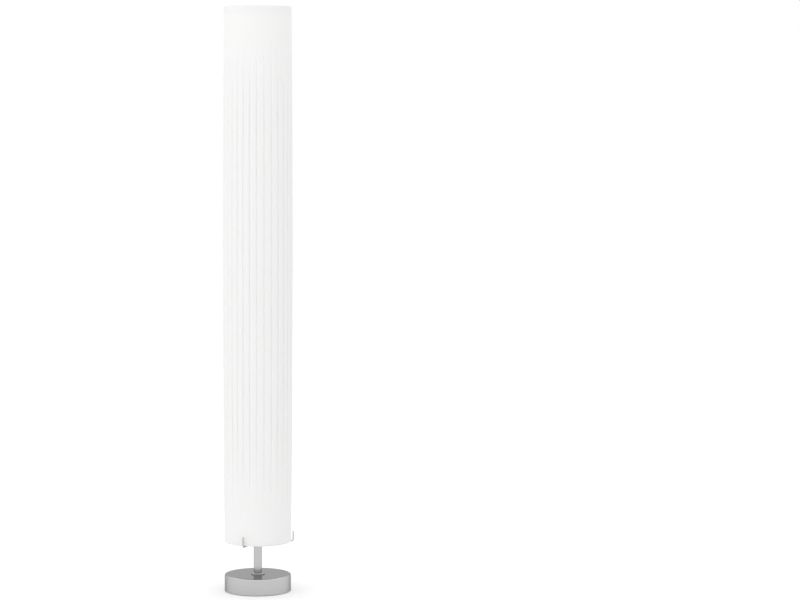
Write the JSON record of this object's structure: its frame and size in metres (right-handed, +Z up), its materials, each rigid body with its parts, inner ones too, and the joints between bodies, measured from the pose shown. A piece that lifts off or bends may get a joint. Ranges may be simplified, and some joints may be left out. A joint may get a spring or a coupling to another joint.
{
  "type": "floor lamp",
  "caption": "Tall slim floor lamp: a white pleated fabric tube shade stands on wire hooks over a satin metal pole and a round weighted base, with bulbs inside.",
  "frame": {"origin": "centre of the base's underside, on the floor", "axes": "+Z up along the pole; -Y is the lamp's front; the cable inlet is at the back, on +Y; the lower lamp's bracket points along +X"},
  "size_m": [0.1455, 0.142, 1.2],
  "materials": {
    "satin_nickel": "satin nickel plate, finely brushed round the turned faces",
    "wire": "nickel-plated spring wire",
    "zinc_steel": "bright zinc plate",
    "cast_weight": "raw cast iron, dark",
    "foam_pad": "thin black foam",
    "black_rubber": "soft black rubber",
    "nylon": "natural nylon",
    "brass": "turned brass",
    "lead_sheath": "clear-grey insulated lead",
    "pleated_fabric": "white plain-weave fabric laminated to a thin film",
    "ring_wire": "white coated steel wire",
    "holder_plastic": "white moulded thermoset",
    "holder_ceramic": "unglazed white ceramic",
    "shell_metal": "nickelled brass sheet",
    "opal_globe": "opal diffuser, satin",
    "bulb_housing": "white moulded housing",
    "bulb_cap": "rolled aluminium screw cap",
    "black_glass": "black insulating glass",
    "bulb_contact": "soldered centre contact"
  },
  "bodies": {
    "stand": {"base_cover": "satin_nickel", "base_weight": "cast_weight", "floor_pad": "foam_pad", "cable_grommet": "black_rubber", "terminal_block": "nylon", "terminal_screw": "zinc_steel", "base_washer": "zinc_steel", "base_nut": "zinc_steel", "base_threaded_tube": "zinc_steel", "stem_collar": "satin_nickel", "lower_pole": "satin_nickel", "lower_pole_foot_insert": "brass", "lower_pole_top_insert": "brass", "upper_pole": "satin_nickel", "upper_pole_foot_insert": "brass", "upper_pole_top_insert": "brass", "pole_joint_threaded_tube": "zinc_steel", "shade_hub": "satin_nickel", "shade_hook_front": "wire", "shade_hook_right": "wire", "shade_hook_rear": "wire", "hub_set_screw": "zinc_steel", "lamp_bracket": "zinc_steel", "lower_holder_nut": "zinc_steel", "lower_holder_threaded_tube": "zinc_steel", "upper_holder_threaded_tube": "zinc_steel", "upper_lead": "lead_sheath", "lower_lead": "lead_sheath", "side_hole_bush": "black_rubber", "lower_holder_cap": "holder_plastic", "lower_holder_insert": "holder_ceramic", "lower_holder_barrel": "holder_plastic", "lower_screw_shell": "shell_metal", "lower_contact_tongue": "brass", "upper_holder_cap": "holder_plastic", "upper_holder_insert": "holder_ceramic", "upper_holder_barrel": "holder_plastic", "upper_screw_shell": "shell_metal", "upper_contact_tongue": "brass"},
    "shade": {"shade_pleats": "pleated_fabric", "top_ring": "ring_wire", "bottom_ring": "ring_wire"},
    "lower_bulb_tip": {"lower_bulb_contact": "bulb_contact", "lower_bulb_insulator": "black_glass"},
    "lower_bulb": {"lower_bulb_globe": "opal_globe", "lower_bulb_housing": "bulb_housing", "lower_bulb_screw_cap": "bulb_cap"},
    "upper_bulb_tip": {"upper_bulb_contact": "bulb_contact", "upper_bulb_insulator": "black_glass"},
    "upper_bulb": {"upper_bulb_globe": "opal_globe", "upper_bulb_housing": "bulb_housing", "upper_bulb_screw_cap": "bulb_cap"}
  },
  "joints": [
    {"name": "shade_lift", "type": "slide", "parent": "stand", "child": "shade", "axis": [0, 0, 1], "range_m": [0, 1.05]},
    {"name": "lower_bulb_rise", "type": "slide", "parent": "stand", "child": "lower_bulb_tip", "axis": [0, 0, 1], "range_m": [0, 0.0155]},
    {"name": "lower_bulb_turn", "type": "hinge", "parent": "lower_bulb_tip", "child": "lower_bulb", "pos_m": [0.034, 0, 0.54], "axis": [0, 0, 1], "range_deg": [0, 1530]},
    {"name": "upper_bulb_rise", "type": "slide", "parent": "stand", "child": "upper_bulb_tip", "axis": [0, 0, 1], "range_m": [0, 0.0155]},
    {"name": "upper_bulb_turn", "type": "hinge", "parent": "upper_bulb_tip", "child": "upper_bulb", "pos_m": [0, 0, 1.05], "axis": [0, 0, 1], "range_deg": [0, 1530]}
  ],
  "couplings": [
    {"joint": "lower_bulb_rise", "follows": "lower_bulb_turn", "m_per_rad": 0.00057773},
    {"joint": "upper_bulb_rise", "follows": "upper_bulb_turn", "m_per_rad": 0.00057773}
  ]
}
